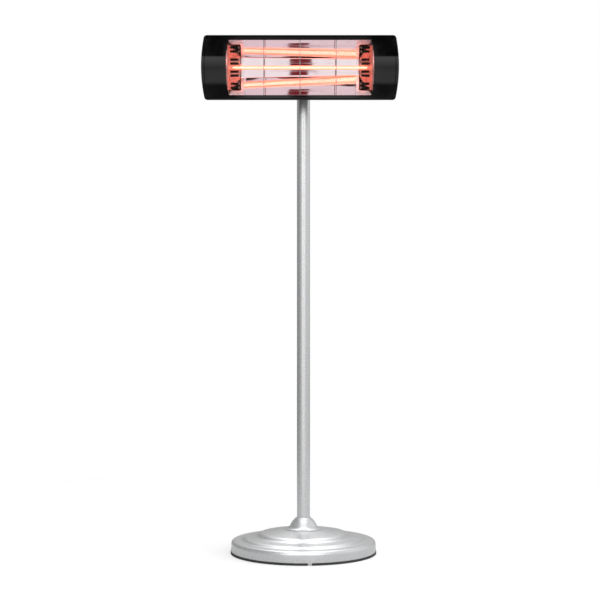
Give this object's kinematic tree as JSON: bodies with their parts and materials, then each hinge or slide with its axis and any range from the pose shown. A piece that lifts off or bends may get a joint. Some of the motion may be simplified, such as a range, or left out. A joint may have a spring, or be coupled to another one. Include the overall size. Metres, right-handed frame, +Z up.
{
  "type": "floor-standing infrared heater",
  "caption": "Infrared radiant heater: a wide black head with a straight lamp in a polished trough, tilting on a plain pole over a round stepped weighted base.",
  "frame": {"origin": "centre of the round base, on the floor", "axes": "+Z up along the pole, the lamp's window towards -Y, +X to the right as seen from the front"},
  "size_m": [0.498, 0.3786, 1.328],
  "materials": {
    "silver_paint": "satin silver paint",
    "black_gloss": "gloss black paint on aluminium",
    "black_steel": "satin black paint",
    "cast_aluminium": "plain casting",
    "black_rubber": "matt",
    "concrete": "rough cast",
    "zinc_steel": "zinc plated",
    "galvanised_sheet": "galvanised",
    "spring_steel": "bright",
    "polished_aluminium": "mirror polish",
    "bright_wire": "bright",
    "quartz": "clear",
    "tungsten": "glowing",
    "white_ceramic": "unglazed",
    "black_plastic": "fine grain",
    "white_nylon": "matt",
    "brass": "plain",
    "brown_insulation": "matt",
    "blue_insulation": "matt",
    "green_insulation": "matt"
  },
  "bodies": {
    "stand": {"base_cover": "silver_paint", "base_edge_trim": "black_rubber", "base_weight": "concrete", "floor_pads": "black_rubber", "base_bolt": "zinc_steel", "base_washer": "zinc_steel", "pole_collar": "silver_paint", "collar_grub_screws": "zinc_steel", "pole": "silver_paint", "pole_foot_plug": "zinc_steel", "pole_top_fitting": "cast_aluminium", "top_fitting_rivets": "zinc_steel"},
    "head": {"fascia": "black_gloss", "rear_casing": "black_gloss", "head_bracket": "black_steel", "gland_seal": "black_rubber", "bracket_screws": "zinc_steel", "bracket_nuts": "zinc_steel", "tilt_bolt": "zinc_steel", "knob_washer": "zinc_steel", "casing_screws": "zinc_steel", "fascia_screws": "zinc_steel", "chassis_plate": "galvanised_sheet", "left_lamp_holder": "spring_steel", "right_lamp_holder": "spring_steel", "reflector": "polished_aluminium", "left_cheek": "polished_aluminium", "right_cheek": "polished_aluminium", "guard_wires": "bright_wire", "lamp_tube": "quartz", "lamp_coil": "tungsten", "left_lamp_cap": "white_ceramic", "right_lamp_cap": "white_ceramic", "switch_housing": "black_plastic", "gland_body": "black_plastic", "gland_nut": "black_plastic", "gland_locknut": "black_plastic", "tip_switch": "black_plastic", "terminal_block": "white_nylon", "friction_washer": "white_nylon", "earth_stud": "brass", "live_leads": "brown_insulation", "neutral_lead": "blue_insulation", "earth_lead": "green_insulation"},
    "knob": {"tilt_knob": "black_plastic", "knob_insert": "brass"},
    "rocker": {"switch_rocker": "black_plastic"}
  },
  "joints": [
    {"name": "head_tilt", "type": "hinge", "parent": "stand", "child": "head", "pos_m": [0, 0, 1.213], "axis": [1, 0, 0], "range_deg": [-20, 30]},
    {"name": "knob_turn", "type": "hinge", "parent": "head", "child": "knob", "pos_m": [0.0125, 0, 1.213], "axis": [1, 0, 0], "range_deg": [0, 270]},
    {"name": "rocker_tip", "type": "hinge", "parent": "head", "child": "rocker", "pos_m": [0.139, -0.04254, 1.25676], "axis": [1, 0, 0], "range_deg": [-16, 0]}
  ]
}
